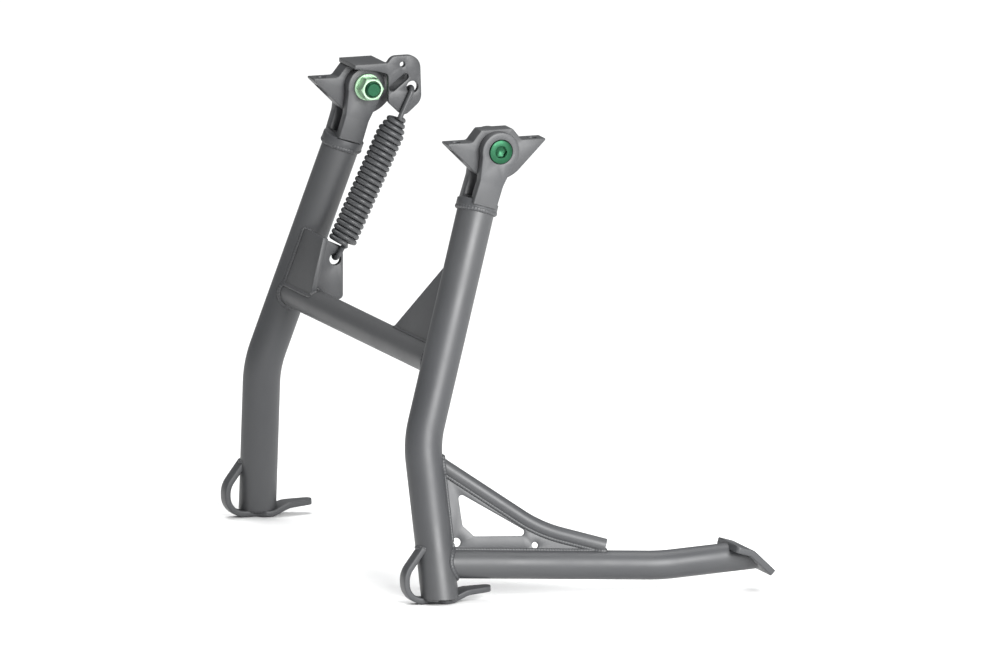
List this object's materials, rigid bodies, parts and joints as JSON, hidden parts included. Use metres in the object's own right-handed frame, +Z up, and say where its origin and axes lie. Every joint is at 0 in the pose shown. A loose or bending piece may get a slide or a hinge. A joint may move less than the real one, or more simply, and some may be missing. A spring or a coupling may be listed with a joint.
{
  "type": "motorcycle_centre_stand",
  "caption": "Motorcycle centre stand: bent tube legs on forked pivots, cross tube, braced foot lever with tread plate, curled foot straps and a coil return spring",
  "frame": {"origin": "Middle of the four frame bolts, in the plane of the two pivot brackets' bolted top faces; the pivot axis is 6 mm below it", "axes": "+X towards the motorcycle's front, +Y towards the motorcycle's left, +Z up; the stand is modelled lowered, with both soles on the ground"},
  "size_m": [0.2456, 0.4181, 0.317],
  "materials": {
    "frame_coat": "dark grey powder coat on welded steel",
    "bracket_coat": "dark grey powder coat on steel plate",
    "bronze": "sintered bronze, machined",
    "ground_steel": "ground steel",
    "green_bolt": "dark green chromate on steel",
    "pale_zinc": "pale green passivated zinc on steel",
    "spring_steel": "dark grey coated spring wire"
  },
  "bodies": {
    "frame_side": {"pivot_bracket_left": "bracket_coat", "pivot_bracket_right": "bracket_coat", "bracket_bush_left": "bronze", "bracket_bush_right": "bronze", "spring_anchor": "bracket_coat"},
    "stand": {"leg_tube_left": "frame_coat", "leg_tube_right": "frame_coat", "leg_fork_left": "frame_coat", "leg_fork_right": "frame_coat", "cross_tube": "frame_coat", "gusset_left": "frame_coat", "gusset_right": "frame_coat", "spring_bracket": "frame_coat", "foot_left": "frame_coat", "foot_right": "frame_coat", "lever_tube": "frame_coat", "brace_plate": "frame_coat", "brace_rod": "frame_coat", "lever_tread": "frame_coat", "pivot_sleeve_left": "ground_steel", "pivot_sleeve_right": "ground_steel", "pivot_bolt_left": "green_bolt", "pivot_bolt_right": "green_bolt", "pivot_washer_left": "pale_zinc", "pivot_washer_right": "pale_zinc", "pivot_nut_left": "pale_zinc", "pivot_nut_right": "pale_zinc"},
    "spring": {"return_spring": "spring_steel"}
  },
  "joints": [
    {"name": "stand_swing", "type": "hinge", "parent": "frame_side", "child": "stand", "pos_m": [0, 0, -0.006], "axis": [0, 1, 0], "range_deg": [0, 90]},
    {"name": "spring_swing", "type": "hinge", "parent": "frame_side", "child": "spring", "pos_m": [-0.0285, -0.1075, -0.006], "axis": [0, 1, 0], "range_deg": [0, 98.7], "deforming": ["return_spring"]}
  ],
  "couplings": [
    {"joint": "spring_swing", "follows": "stand_swing", "ratio": 1.096}
  ]
}
